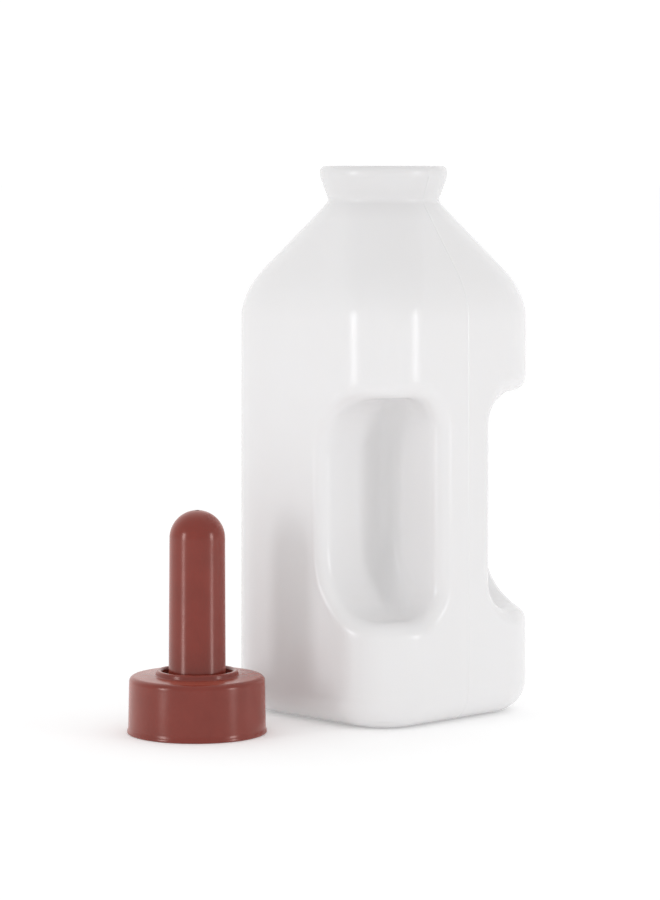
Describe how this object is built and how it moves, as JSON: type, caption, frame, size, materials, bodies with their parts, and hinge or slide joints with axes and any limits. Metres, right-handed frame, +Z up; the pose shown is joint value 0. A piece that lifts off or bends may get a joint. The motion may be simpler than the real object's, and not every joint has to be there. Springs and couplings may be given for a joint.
{
  "type": "calf feeding bottle",
  "caption": "Square translucent milk bottle with a flared push-on neck and a moulded-in grip bar between finger pockets, with its rubber calf nipple standing beside it.",
  "frame": {"origin": "centre of the bottle's flat base, on the surface it stands on", "axes": "+Z up along the bottle's axis, -Y out of the grip face, X across the bottle's mirror plane; the nipple stands at -X"},
  "size_m": [0.1864, 0.1076, 0.2467],
  "materials": {
    "natural_plastic": "soft satin, slightly translucent",
    "red_rubber": "soft sheen"
  },
  "bodies": {
    "bottle": {"bottle": "natural_plastic"},
    "nipple": {"nipple": "red_rubber"}
  },
  "joints": [
    {"name": "nipple_lift", "type": "slide", "parent": "bottle", "child": "nipple", "axis": [0, 0, 1], "range_m": [0, 0.26]}
  ]
}
